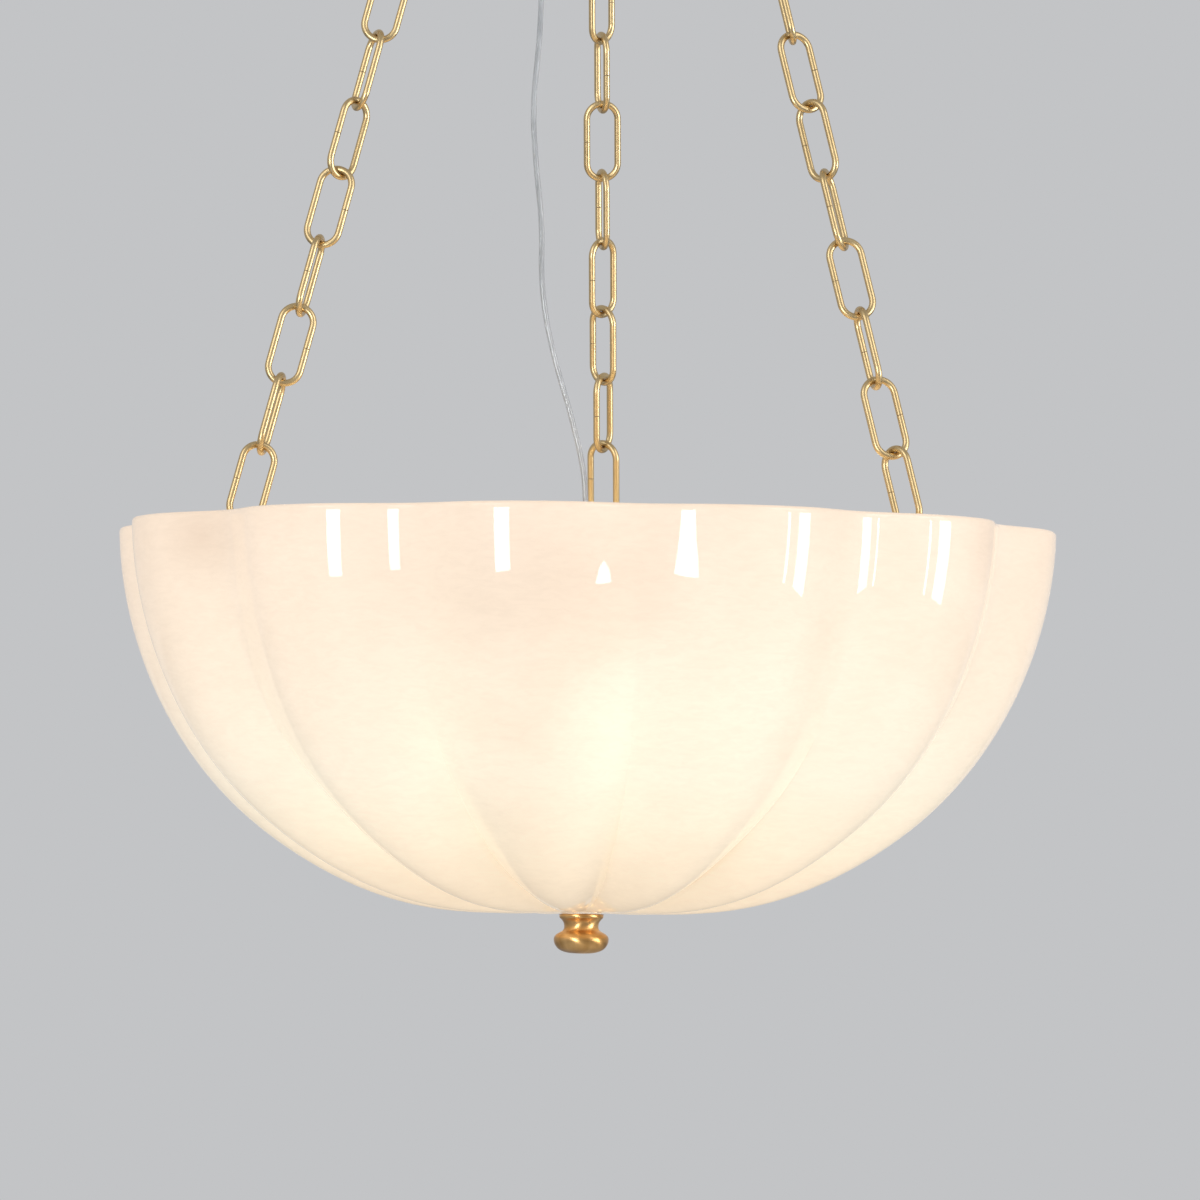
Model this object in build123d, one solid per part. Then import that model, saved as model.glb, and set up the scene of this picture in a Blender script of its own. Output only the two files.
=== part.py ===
from build123d import *
import os
from math import acos, asin, cos, degrees, pi, radians, sin, sqrt, tan

os.makedirs("parts", exist_ok=True)

# Millimetres. The origin is the middle of the canopy on the ceiling plane, and +Z is up.
# One chain hangs towards +Y, and the other two 120 degrees to each side of it.

# Bowl shell
BOWL_RADIUS = 250.0
BOWL_DEPTH = 202.7
BOWL_WALL = 4.5
RADIUS_POWER = 2.77
DEPTH_POWER = 1.85
BOWL_FULLNESS = 3.2
FULLNESS_REACH = 0.7
FLUTE_COUNT = 12
FLUTE_DEPTH = 16.0
FLUTE_TURN = -4.7
FLUTE_POWER = 1.5
BASE_RADIUS = 16.0
BOWL_HOLE_RADIUS = 5.6
SHELL_ANGLES = (9.0, 18.0, 28.0, 38.0, 48.0, 57.0, 65.0, 72.0, 78.0, 83.0)

# Chains
CHAIN_NAMES = {"back": 90.0, "left": 210.0, "right": 330.0}
LINK_COUNT = 17
LINK_PITCH = 38.15
LINK_WIDTH = 20.6
LINK_WIRE = 3.6
LINK_SEAM = 0.35
LINK_WOBBLE = 12.0
CONNECTOR_PITCH = 22.7
CONNECTOR_WIDTH = 14.0
CONNECTOR_WIRE = 3.4
CONNECTOR_SLEEVE_RADIUS = 3.1
CONNECTOR_SLEEVE_LENGTH = 9.0
WIRE_CLEARANCE = 0.05
LINK_TWISTS = {
    "back": (-28, 59, 157, 44, 139, 18, 100, 200, -36),
    "left": (72, -13, 55, 161, 53, 143, 19, -96, -30),
    "right": (-80, 165, 51, 136, -138, -74, 172, 60, -56),
}
LINK_TURNS = {"back": 84.0, "left": 96.0, "right": 96.0}
CONNECTOR_TWISTS = {"back": 75, "left": 80, "right": 80}

# Ceiling fixings
STRAP_LENGTH = 104.0
STRAP_WIDTH = 22.0
STRAP_THICKNESS = 2.0
SLOT_SPACING = 82.0
SLOT_LENGTH = 10.0
SLOT_WIDTH = 4.5
NIPPLE_RADIUS = 5.0
NIPPLE_BORE = 3.6
NIPPLE_LENGTH = 32.0
NUT_FLATS = 15.0
NUT_HEIGHT = 4.0
SCREW_RADIUS = 2.0
SCREW_HEAD_RADIUS = 3.6
EARTH_X = -15.5
BLOCK_SIZE = (20.0, 14.0, 10.0)
BLOCK_X = 24.0
BLOCK_HOLE_RADIUS = 1.6

# Canopy
CANOPY_RADIUS = 62.5
CANOPY_DEPTH = 38.0
CANOPY_SHEET = 1.2
CANOPY_SKIRT = 7.0
CANOPY_BEAD = 3.0
CANOPY_FLAT_RADIUS = 35.0
BARREL_RADIUS = 12.0
BARREL_TOP_DEPTH = 26.0
BARREL_BELOW = 14.0
COLLAR_RADIUS = 18.0
COLLAR_HEIGHT = 6.0
THREAD_CLEARANCE = 0.05
HOLE_CLEARANCE = 0.5

# Rings that the lamp swings on
LOOP_WIRE = 5.0
LOOP_BEND_RADIUS = 12.0
LOOP_LEG = 8.0
RING_WIRE = 4.5
RING_RADIUS = 14.0
CROWN_LEG = 6.0
CROWN_BOSS_RADIUS = 8.5
CROWN_BOSS_HEIGHT = 7.6
PLATE_THICKNESS = 3.0
PLATE_LOBE_WIDTH = 12.0
PLATE_HUB_RADIUS = 11.0
STUD_RADIUS = 4.0
STUD_NUT_FLATS = 13.0
STUD_NUT_HEIGHT = 5.0
EYE_WIRE = 4.0
EYE_RADIUS = 6.5
EYE_NECK = 4.0
EYE_HEAD_RADIUS = 3.6
EYE_HEAD_HEIGHT = 2.5
CROWN_EYE_CIRCLE = 22.69

# Cable
CABLE_RADIUS = 1.5
GLAND_X = -25.0
GLAND_FLANGE_RADIUS = 6.5
GLAND_FLANGE_HEIGHT = 4.0
GLAND_THREAD_RADIUS = 4.0
GLAND_TOP_DEPTH = 30.0
GLAND_BORE = 1.7
GLAND_TIP_RADIUS = 2.6
GLAND_NECK_RADIUS = 4.4
GLAND_NUT_FLATS = 11.0
GLAND_NUT_HEIGHT = 3.6

# Frame inside the bowl, depths below the rim plane
EYE_CONTACT_DEPTH = 37.5
ARM_EYE_INSET = 33.74
ARM_RADIUS = 3.0
BUFFER_PIN_RADIUS = 2.0
BUFFER_RADIUS = 5.0
BUFFER_GAP = 0.5
HUB_RADIUS = 24.0
HUB_WALL = 3.0
HUB_TOP_DEPTH = 22.0
HUB_BOTTOM_DEPTH = 66.0
HUB_FLOOR = 4.0
COVER_THICKNESS = 3.0
COVER_SCREW_RADIUS = 1.5
COVER_SCREW_LENGTH = 9.0
COVER_SCREW_CIRCLE = 18.5
HUB_GLAND_HEIGHT = 27.0
HUB_CONNECTOR_SIZE = (22.0, 12.0, 10.0)
ROD_RADIUS = 5.0
ROD_TOP_ABOVE_FLOOR = 7.0
ROD_BELOW_BOWL = 10.8

# Bowl clamp and finial
GASKET_RADIUS = 15.0
GASKET_THICKNESS = 2.0
SEAT_WASHER_RADIUS = 19.0
SEAT_WASHER_THICKNESS = 2.0
SEAT_NUT_HEIGHT = 5.0
LOWER_GASKET_RADIUS = 10.5
LOWER_GASKET_THICKNESS = 0.8
ROD_CLEARANCE = 0.3
FINIAL_BORE_DEPTH = 14.0
FINIAL_RADIUS = 14.55
FINIAL_HEIGHT = 20.9
FINIAL_EDGE = 0.784
FINIAL_SIDE = (
    (0.797, 0.086), (0.667, 0.191), (0.625, 0.316), (0.660, 0.411), (0.811, 0.474), (0.962, 0.555),
    (1.0, 0.660), (0.935, 0.809), (0.729, 0.928), (0.412, 0.995),
)

# Lamps
LAMP_COUNT = 6
LAMP_TURN = 12.0
LAMP_CIRCLE = 84.0
LAMP_ARM_DEPTH = 52.0
LAMP_ARM_RADIUS = 4.0
LAMP_ARM_BORE = 2.8
LAMP_ARM_BEND = 11.0
HOLDER_DROP = 14.0
HOLDER_LENGTH = 21.0
HOLDER_RADIUS = 11.5
HOLDER_WALL = 1.5
HOLDER_RECESS = 4.0
PIN_RADIUS = 0.8
PIN_HOLE_RADIUS = 1.0
PIN_LENGTH = 9.0
PIN_SPACING = 9.0
BULB_BASE_RADIUS = 8.5
BULB_BASE_LENGTH = 11.0
BULB_RADIUS = 10.0
BULB_LENGTH = 42.0

# Values that follow from the sizes above
chain_length = LINK_COUNT * LINK_PITCH + CONNECTOR_PITCH
eye_offset = EYE_RADIUS - EYE_WIRE / 2
wall_share = 1 - (EYE_CONTACT_DEPTH / BOWL_DEPTH) ** DEPTH_POWER
arm_eye_radius = BOWL_RADIUS * wall_share ** (1 / RADIUS_POWER) - ARM_EYE_INSET
lean_sine = (arm_eye_radius - CROWN_EYE_CIRCLE) / (chain_length + 2 * eye_offset)
lean_cosine = sqrt(1 - lean_sine**2)
canopy_bottom = -CANOPY_DEPTH
barrel_bottom = canopy_bottom - BARREL_BELOW
loop_bar = barrel_bottom - LOOP_LEG - LOOP_BEND_RADIUS
ring_step = LOOP_WIRE / 2 + RING_WIRE / 2 + WIRE_CLEARANCE
ring_centre = loop_bar + ring_step - RING_RADIUS
ring_bar = ring_centre - RING_RADIUS
crown_bend = ring_bar + ring_step - LOOP_BEND_RADIUS
boss_top = crown_bend - CROWN_LEG
plate_top = boss_top - CROWN_BOSS_HEIGHT
plate_bottom = plate_top - PLATE_THICKNESS
crown_eye_z = plate_bottom - EYE_NECK - EYE_WIRE / 2 - EYE_RADIUS
chain_bottom_z = crown_eye_z - (eye_offset + chain_length) * lean_cosine
chain_bottom_radius = arm_eye_radius - eye_offset * lean_sine
rim_z = chain_bottom_z + EYE_CONTACT_DEPTH
arm_z = chain_bottom_z - eye_offset * lean_cosine
hub_top = rim_z - HUB_TOP_DEPTH
hub_bottom = rim_z - HUB_BOTTOM_DEPTH
hub_inside_floor = hub_bottom + HUB_FLOOR
rod_top = hub_inside_floor + ROD_TOP_ABOVE_FLOOR


def save(name, *shapes):
    solids = [solid for shape in shapes for solid in shape.solids()]
    shape = solids[0] if len(solids) == 1 else Compound(children=solids)
    export_step(shape, f"parts/{name}.step")


def turned(*outline):
    """Solid of revolution about Z, from (radius, height) corners."""
    points = [(radius, 0, height) for radius, height in outline]
    return revolve(make_face(Polyline(*points, close=True)), Axis.Z)


def tube_between(radius, start, end):
    """Round bar from one point to another."""
    path = Line(start, end)
    return sweep(Plane(origin=start, z_dir=path % 0) * Circle(radius), path=path)


def swept(path, section):
    return sweep(Plane(origin=path @ 0, z_dir=path % 0) * section, path=path)


def hexagon_nut(flats, height, bore, top):
    """Hexagon nut with its top face at the given height."""
    nut = extrude(RegularPolygon(flats / 2, 6, major_radius=False), -height)
    return Pos(0, 0, top) * (nut - Cylinder(bore, 3 * height))


def upright_ring(radius, wire, x, z):
    """Ring standing in the XZ plane."""
    return Pos(x, 0, z) * Rot(90, 0, 0) * Torus(radius, wire / 2)


def smooth_step(value, low, high):
    share = min(1.0, max(0.0, (value - low) / (high - low)))
    return share * share * (3 - 2 * share)


# Bowl surface: a superellipse turned about Z, pushed inwards along its normal in each flute.


def profile(angle):
    """Radius, depth and outward normal of the plain bowl, from the rim at 0 to the pole at 90."""
    share_r = max(cos(radians(angle)), 1e-9) ** (2 / RADIUS_POWER)
    share_z = sin(radians(angle)) ** (2 / DEPTH_POWER)
    slope_r = RADIUS_POWER * share_r ** (RADIUS_POWER - 1) / BOWL_RADIUS
    slope_z = DEPTH_POWER * share_z ** (DEPTH_POWER - 1) / BOWL_DEPTH
    length = sqrt(slope_r**2 + slope_z**2)
    swell = BOWL_FULLNESS * sin(pi * min(1.0, share_r / FULLNESS_REACH)) ** 2
    return share_r * BOWL_RADIUS, share_z * BOWL_DEPTH + swell, slope_r / length, slope_z / length


def flute_push(turn, radius, depth):
    """Depth of the flutes at an angle from a lobe's crest, smooth at the rim, creased below."""
    phase = FLUTE_COUNT * turn
    smooth = ((1 - cos(radians(phase))) / 2) ** FLUTE_POWER
    creased = 1 - cos(radians(phase / 2))
    share = smooth_step(depth / BOWL_DEPTH, 0.2, 0.9)
    reach = min(1.0, max(0.0, (radius - BASE_RADIUS) / (0.6 * BOWL_RADIUS)))
    return FLUTE_DEPTH * sin(reach * pi / 2) * ((1 - share) * smooth + share * creased)


def shell_point(angle, turn, inset):
    """Point of the bowl wall, inset from its outside, at an angle from a lobe's crest."""
    radius, depth, out_r, out_z = profile(angle)
    push = flute_push(turn, radius, depth) + inset
    plan = radians(turn + FLUTE_TURN)
    reach = radius - push * out_r
    return Vector(reach * cos(plan), reach * sin(plan), rim_z - depth + push * out_z)


def shell_ring(angle, inset, lift=0.0):
    """Closed wire around the bowl at one profile angle, one edge for each flute."""
    half = 180.0 / FLUTE_COUNT
    turns = [half * share for share in (-1, -0.85, -0.6, -0.3, 0, 0.3, 0.6, 0.85, 1)]
    raised = Vector(0, 0, lift)
    points = [shell_point(angle, turn, inset) + raised for turn in turns]
    step = half / 1000
    first = shell_point(angle, -half + step, inset) - shell_point(angle, -half, inset)
    last = shell_point(angle, half, inset) - shell_point(angle, half - step, inset)
    edge = Spline(*points, tangents=(first, last))
    return Wire([Rot(0, 0, 2 * half * index) * edge.edge() for index in range(FLUTE_COUNT)])


pole_angle = degrees(acos((BASE_RADIUS / BOWL_RADIUS) ** (RADIUS_POWER / 2)))
bowl_bottom = shell_point(pole_angle, 0.0, 0.0).Z
bowl_floor = shell_point(pole_angle, 0.0, BOWL_WALL).Z
rod_bottom = bowl_bottom - ROD_BELOW_BOWL
finial_top = bowl_bottom - LOWER_GASKET_THICKNESS


def bowl_shell():
    """Outside, rounded lip and inside, each lofted through its rings, with a flat disc at the pole."""
    lip = BOWL_WALL / 2
    rim_angle = degrees(acos((1 - (lip / BOWL_DEPTH) ** DEPTH_POWER) ** 0.5))
    angles = (rim_angle, *SHELL_ANGLES, pole_angle)
    outside = [shell_ring(angle, 0.0) for angle in angles]
    inside = [shell_ring(angle, BOWL_WALL) for angle in angles]
    crest = shell_ring(rim_angle, lip, lip)
    faces = list(Shell.make_loft(outside).faces())
    faces += Shell.make_loft([outside[0], crest, inside[0]]).faces()
    faces += Shell.make_loft(inside).faces()
    faces += [Face(outside[-1]), Face(inside[-1])]
    shell = Solid(Shell(Face.sew_faces(faces)[0]))
    hole = Pos(0, 0, bowl_bottom) * Cylinder(BOWL_HOLE_RADIUS, 4 * BOWL_WALL)
    return shell - hole


def inset_radius(height, turn, inset):
    """Radius, at a height, of the surface that lies an inset inside the bowl's outside."""
    low, high = 0.0, 90.0
    for _ in range(50):
        middle = (low + high) / 2
        if shell_point(middle, turn, inset).Z > height:
            low = middle
        else:
            high = middle
    point = shell_point(low, turn, inset)
    return sqrt(point.X**2 + point.Y**2)


# Chain pieces, made upright around their own middle and then laid along a leaning line.


def oval_path(pitch, width, wire, gap):
    """Middle line of an oval link, open by a gap halfway down one side."""
    bend = (width - wire) / 2
    straight = (pitch + WIRE_CLEARANCE + wire) / 2 - bend
    top, bottom = straight + bend, -straight - bend
    lower = Line((bend, 0, -gap / 2), (bend, 0, -straight))
    foot = ThreePointArc((bend, 0, -straight), (0, 0, bottom), (-bend, 0, -straight))
    side = Line((-bend, 0, -straight), (-bend, 0, straight))
    head = ThreePointArc((-bend, 0, straight), (0, 0, top), (bend, 0, straight))
    upper = Line((bend, 0, straight), (bend, 0, gap / 2))
    return Wire([lower.edge(), foot.edge(), side.edge(), head.edge(), upper.edge()])


def chain_link():
    return swept(oval_path(LINK_PITCH, LINK_WIDTH, LINK_WIRE, LINK_SEAM), Circle(LINK_WIRE / 2))


def connector():
    """Screw connector: a short oval and the hexagon sleeve that closes it."""
    wire = CONNECTOR_WIRE / 2
    oval = swept(oval_path(CONNECTOR_PITCH, CONNECTOR_WIDTH, CONNECTOR_WIRE, 2.0), Circle(wire))
    sleeve = extrude(RegularPolygon(CONNECTOR_SLEEVE_RADIUS, 6), CONNECTOR_SLEEVE_LENGTH / 2, both=True)
    sleeve -= Cylinder(wire + WIRE_CLEARANCE, 2 * CONNECTOR_SLEEVE_LENGTH)
    return [oval.solid(), (Pos((CONNECTOR_WIDTH - CONNECTOR_WIRE) / 2, 0, 0) * sleeve).solid()]


def along_chain(turn, distance, twist):
    """Place on a chain's middle line, at a distance up from its lowest contact."""
    radius = chain_bottom_radius - distance * lean_sine
    height = chain_bottom_z + distance * lean_cosine
    tilt = -degrees(asin(lean_sine))
    return Rot(0, 0, turn) * Pos(radius, 0, height) * Rot(0, tilt, 0) * Rot(0, 0, twist)


def link_twist(name, index):
    """Twist of a link about the chain, and past the given ones about a quarter turn each."""
    given = LINK_TWISTS[name]
    if index < len(given):
        return given[index]
    past = index - len(given) + 1
    return given[-1] + LINK_TURNS[name] * past + LINK_WOBBLE * sin(2.3 * past)


def chain(name, turn, link):
    start = CONNECTOR_PITCH if name == "back" else 0.0
    return [
        along_chain(turn, start + (index + 0.5) * LINK_PITCH, link_twist(name, index)) * link
        for index in range(LINK_COUNT)
    ]


def chain_connector(name, turn, pieces):
    start = 0.0 if name == "back" else LINK_COUNT * LINK_PITCH
    place = along_chain(turn, start + CONNECTOR_PITCH / 2, CONNECTOR_TWISTS[name])
    return [place * piece for piece in pieces]


def make_chains():
    link = chain_link().solid()
    pieces = connector()
    connectors = []
    for name, turn in CHAIN_NAMES.items():
        save(f"chain_{name}", *chain(name, turn, link))
        connectors += chain_connector(name, turn, pieces)
    save("chain_connectors", *connectors)


# Ceiling fixings and canopy


def make_ceiling_fixings():
    strap = Pos(0, 0, -STRAP_THICKNESS / 2) * Box(STRAP_LENGTH, STRAP_WIDTH, STRAP_THICKNESS)
    strap = fillet(strap.edges().filter_by(Axis.Z), STRAP_WIDTH / 5)
    strap -= Cylinder(NIPPLE_RADIUS, 3 * STRAP_THICKNESS)
    strap -= Pos(EARTH_X, 0, 0) * Cylinder(SCREW_RADIUS, 3 * STRAP_THICKNESS)
    slot = extrude(SlotOverall(SLOT_LENGTH, SLOT_WIDTH), 3 * STRAP_THICKNESS, both=True)
    for side in (-1, 1):
        strap -= Pos(side * SLOT_SPACING / 2, 0, 0) * slot
    save("ceiling_bracket", strap)
    below = -STRAP_THICKNESS
    nipple = Pos(0, 0, -NIPPLE_LENGTH / 2) * Cylinder(NIPPLE_RADIUS, NIPPLE_LENGTH)
    save("nipple", nipple - Pos(0, 0, -NIPPLE_LENGTH / 2) * Cylinder(NIPPLE_BORE, 2 * NIPPLE_LENGTH))
    save("bracket_nut", hexagon_nut(NUT_FLATS, NUT_HEIGHT, NIPPLE_RADIUS, below))
    head = turned((0, below), (SCREW_HEAD_RADIUS, below), (SCREW_HEAD_RADIUS, below - 1.4),
                  (SCREW_RADIUS, below - 2.4), (0, below - 2.4))
    slot_cut = Pos(0, 0, below - 2.4) * Box(3 * SCREW_HEAD_RADIUS, 0.8, 1.6)
    shank = Pos(0, 0, below / 2) * Cylinder(SCREW_RADIUS, STRAP_THICKNESS)
    save("earth_screw", Pos(EARTH_X, 0, 0) * (head - slot_cut + shank))
    length, width, height = BLOCK_SIZE
    block = Pos(BLOCK_X, 0, below - height / 2) * Box(length, width, height)
    block = fillet(block.edges().filter_by(Axis.Z), 1.0)
    for offset in (-width / 4, width / 4):
        bore = Rot(0, 90, 0) * Cylinder(BLOCK_HOLE_RADIUS, 3 * length)
        block -= Pos(BLOCK_X, offset, below - 0.6 * height) * bore
        screw_hole = Pos(BLOCK_X, offset, below - height) * Cylinder(BLOCK_HOLE_RADIUS, height)
        block -= screw_hole
    save("terminal_block", block)


def make_canopy():
    """Spun dome: straight skirt, bead, round shoulder and a flat bottom with two holes."""
    radius, depth, sheet = CANOPY_RADIUS, CANOPY_DEPTH, CANOPY_SHEET
    shoulder_radius = radius - CANOPY_BEAD
    hole = BARREL_RADIUS + HOLE_CLEARANCE

    def half_section(inset, top):
        skirt = -CANOPY_SKIRT + inset
        bulge = (0.93 * shoulder_radius - 0.7 * inset, -0.62 * depth + 0.7 * inset)
        shoulder = ThreePointArc(
            (shoulder_radius - inset, skirt), bulge, (CANOPY_FLAT_RADIUS, -depth + inset)
        )
        edges = [
            Line((0, top), (radius - inset, top)),
            Line((radius - inset, top), (radius - inset, skirt)),
            Line((radius - inset, skirt), (shoulder_radius - inset, skirt)),
            shoulder,
            Line((CANOPY_FLAT_RADIUS, -depth + inset), (0, -depth + inset)),
            Line((0, -depth + inset), (0, top)),
        ]
        return Plane.XZ * make_face([edge.edge() for edge in edges])

    dome = revolve(half_section(0.0, 0.0), Axis.Z) - revolve(half_section(sheet, 1.0), Axis.Z)
    dome -= Pos(0, 0, canopy_bottom) * Cylinder(hole, 4 * sheet)
    dome -= Pos(GLAND_X, 0, canopy_bottom) * Cylinder(GLAND_THREAD_RADIUS + 0.1, 4 * sheet)
    save("canopy", dome)


def make_collar():
    bore = BARREL_RADIUS + THREAD_CLEARANCE
    top, bottom = canopy_bottom, canopy_bottom - COLLAR_HEIGHT
    ring = turned((bore, top), (COLLAR_RADIUS, top), (COLLAR_RADIUS, bottom + 1.5),
                  (COLLAR_RADIUS - 1.5, bottom), (bore, bottom))
    save("collar_ring", ring)


def bail(top_z, bend_z, up):
    """U-shaped bar in the XZ plane, its legs starting at top_z and its bend around bend_z."""
    bend = LOOP_BEND_RADIUS
    tip = bend_z + bend * (1 if up else -1)
    first = Line((bend, 0, top_z), (bend, 0, bend_z))
    arc = ThreePointArc((bend, 0, bend_z), (0, 0, tip), (-bend, 0, bend_z))
    last = Line((-bend, 0, bend_z), (-bend, 0, top_z))
    return swept(Wire([first.edge(), arc.edge(), last.edge()]), Circle(LOOP_WIRE / 2))


def make_canopy_loop():
    """Threaded barrel with a closed bail below, cast in one."""
    foot = LOOP_BEND_RADIUS + LOOP_WIRE / 2
    bore_depth = NIPPLE_LENGTH
    bore = NIPPLE_RADIUS + THREAD_CLEARANCE
    barrel = turned((0, -bore_depth - 1), (bore, -bore_depth - 1), (bore, -BARREL_TOP_DEPTH),
                    (BARREL_RADIUS, -BARREL_TOP_DEPTH), (BARREL_RADIUS, barrel_bottom),
                    (foot, barrel_bottom), (foot, barrel_bottom - 3), (foot - 2, barrel_bottom - 5),
                    (0, barrel_bottom - 5))
    save("canopy_loop", barrel + bail(barrel_bottom - 2, loop_bar + LOOP_BEND_RADIUS, up=False))


def make_hanging_ring():
    ring = Rot(0, 0, 90) * upright_ring(RING_RADIUS, RING_WIRE, 0, ring_centre)
    seam = Pos(0, RING_RADIUS, ring_centre) * Box(2 * RING_WIRE, 2 * RING_WIRE, LINK_SEAM)
    save("hanging_ring", ring - seam)


def make_canopy_gland():
    flange_bottom = canopy_bottom - GLAND_FLANGE_HEIGHT
    inside = canopy_bottom + CANOPY_SHEET
    body = turned((GLAND_BORE, -GLAND_TOP_DEPTH), (GLAND_THREAD_RADIUS, -GLAND_TOP_DEPTH),
                  (GLAND_THREAD_RADIUS, canopy_bottom), (GLAND_FLANGE_RADIUS, canopy_bottom),
                  (GLAND_FLANGE_RADIUS, flange_bottom + 1), (GLAND_FLANGE_RADIUS - 1, flange_bottom),
                  (GLAND_NECK_RADIUS, flange_bottom), (GLAND_TIP_RADIUS, loop_bar),
                  (GLAND_BORE, loop_bar))
    save("canopy_gland", Pos(GLAND_X, 0, 0) * body)
    nut = hexagon_nut(GLAND_NUT_FLATS, GLAND_NUT_HEIGHT, GLAND_THREAD_RADIUS, inside + GLAND_NUT_HEIGHT)
    save("gland_nut", Pos(GLAND_X, 0, 0) * nut)


# Crown, where the three chains meet


def make_crown():
    bail_part = bail(boss_top - 1, crown_bend, up=True)
    foot = LOOP_BEND_RADIUS + LOOP_WIRE / 2
    boss = turned((0, boss_top), (foot, boss_top), (foot, boss_top - 2.5),
                  (CROWN_BOSS_RADIUS, boss_top - 5), (CROWN_BOSS_RADIUS, plate_top),
                  (STUD_RADIUS, plate_top), (STUD_RADIUS, plate_bottom - STUD_NUT_HEIGHT - 1.5),
                  (0, plate_bottom - STUD_NUT_HEIGHT - 1.5))
    save("crown_loop", boss + bail_part)
    plate = Cylinder(PLATE_HUB_RADIUS, PLATE_THICKNESS)
    for turn in CHAIN_NAMES.values():
        lobe = SlotCenterToCenter(CROWN_EYE_CIRCLE, PLATE_LOBE_WIDTH)
        lobe = extrude(Pos(CROWN_EYE_CIRCLE / 2, 0, 0) * lobe, PLATE_THICKNESS / 2, both=True)
        plate += Rot(0, 0, turn) * lobe
    plate = fillet(plate.edges().group_by(Axis.Z)[0], 0.8)
    plate -= Cylinder(STUD_RADIUS, 3 * PLATE_THICKNESS)
    shank_radius = EYE_WIRE / 2
    for turn in CHAIN_NAMES.values():
        plate -= Rot(0, 0, turn) * Pos(CROWN_EYE_CIRCLE, 0, 0) * Cylinder(shank_radius, 3 * PLATE_THICKNESS)
    save("crown_plate", Pos(0, 0, (plate_top + plate_bottom) / 2) * plate)
    save("crown_nut", hexagon_nut(STUD_NUT_FLATS, STUD_NUT_HEIGHT, STUD_RADIUS, plate_bottom))
    eye = upright_ring(EYE_RADIUS, EYE_WIRE, 0, crown_eye_z)
    neck_end = crown_eye_z + EYE_RADIUS
    eye += tube_between(shank_radius, (0, 0, plate_top), (0, 0, neck_end))
    head = turned((0, plate_top), (EYE_HEAD_RADIUS, plate_top), (EYE_HEAD_RADIUS, plate_top + 1),
                  (EYE_HEAD_RADIUS / 2, plate_top + EYE_HEAD_HEIGHT), (0, plate_top + EYE_HEAD_HEIGHT))
    eye += head
    save("crown_eyes", *[Rot(0, 0, turn) * Pos(CROWN_EYE_CIRCLE, 0, 0) * eye for turn in CHAIN_NAMES.values()])


# Cables, routes chosen by hand

CABLE_ROUTE = (
    (-25.0, 0.0, -72.6), (-25.0, 0.8, -96.0), (-27.0, 6.0, -134.0), (-24.0, 8.0, -186.0),
    (-27.5, 5.0, -240.0), (-33.0, 2.0, -292.0), (-31.0, -1.0, -344.0), (-26.5, 0.0, -396.0),
    (-28.0, 1.5, -440.0), (-28.8, 0.5, -478.0), (-32.3, 0.0, -516.0), (-30.2, 0.5, -548.0),
    (-26.6, 0.0, -580.0), (-27.6, 0.0, -612.0), (-22.5, 0.0, -645.0), (-11.5, 0.0, -681.0),
    (-3.0, 0.0, -709.0), (0.0, 0.0, -726.0), (0.0, 0.0, -735.0),
)
TAIL_ROUTE = (
    (-25.0, 0.0, -30.0), (-25.0, 2.0, -13.0), (0.0, 14.0, -11.5), (10.0, 3.5, -8.0), (16.0, 3.5, -8.0),
)


def tube_on_route(name, route):
    """Round tube on straight runs and tangent arcs, each arc as large as its runs allow."""
    points = [Vector(*point) for point in route]
    runs = [end - start for start, end in zip(points, points[1:])]
    radii = []
    for before, after in zip(runs, runs[1:]):
        half_turn = radians(before.get_angle(after) / 2)
        radii.append(0.45 * min(before.length, after.length) / tan(half_turn))
    path = FilletPolyline(*points, radius=radii)
    tube = swept(path, Circle(CABLE_RADIUS))
    section = pi * CABLE_RADIUS**2
    print(name, "length", round(path.length, 1), "radii", [round(radius, 1) for radius in radii])
    print(name, "volume", round(tube.volume, 1), "section times length", round(section * path.length, 1))
    return tube


# Frame inside the bowl


def make_support_arms():
    start = HUB_RADIUS - HUB_WALL
    ring_side = arm_eye_radius - EYE_RADIUS
    arm = tube_between(ARM_RADIUS, (start, 0, arm_z), (ring_side, 0, arm_z))
    arm += upright_ring(EYE_RADIUS, EYE_WIRE, arm_eye_radius, arm_z)
    cap_centre = inset_radius(arm_z, -FLUTE_TURN, BOWL_WALL + BUFFER_GAP + BUFFER_RADIUS)
    pin_end = cap_centre
    arm += tube_between(BUFFER_PIN_RADIUS, (arm_eye_radius + EYE_RADIUS, 0, arm_z), (pin_end, 0, arm_z))
    cap_start = pin_end - 2.0
    cap = Pos(cap_centre, 0, arm_z) * Sphere(BUFFER_RADIUS)
    cap += tube_between(BUFFER_RADIUS, (cap_start, 0, arm_z), (cap_centre, 0, arm_z))
    cap -= tube_between(BUFFER_PIN_RADIUS, (cap_start - BUFFER_RADIUS, 0, arm_z), (pin_end, 0, arm_z))
    cap &= Pos(cap_start + 2 * BUFFER_RADIUS, 0, arm_z) * Box(*[4 * BUFFER_RADIUS] * 3)
    for name, turn in CHAIN_NAMES.items():
        save(f"support_arm_{name}", Rot(0, 0, turn) * arm)
    save("arm_buffers", *[Rot(0, 0, turn) * cap for turn in CHAIN_NAMES.values()])


def lamp_turns():
    return [LAMP_TURN - 90 + 360 / LAMP_COUNT * index for index in range(LAMP_COUNT)]


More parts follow.
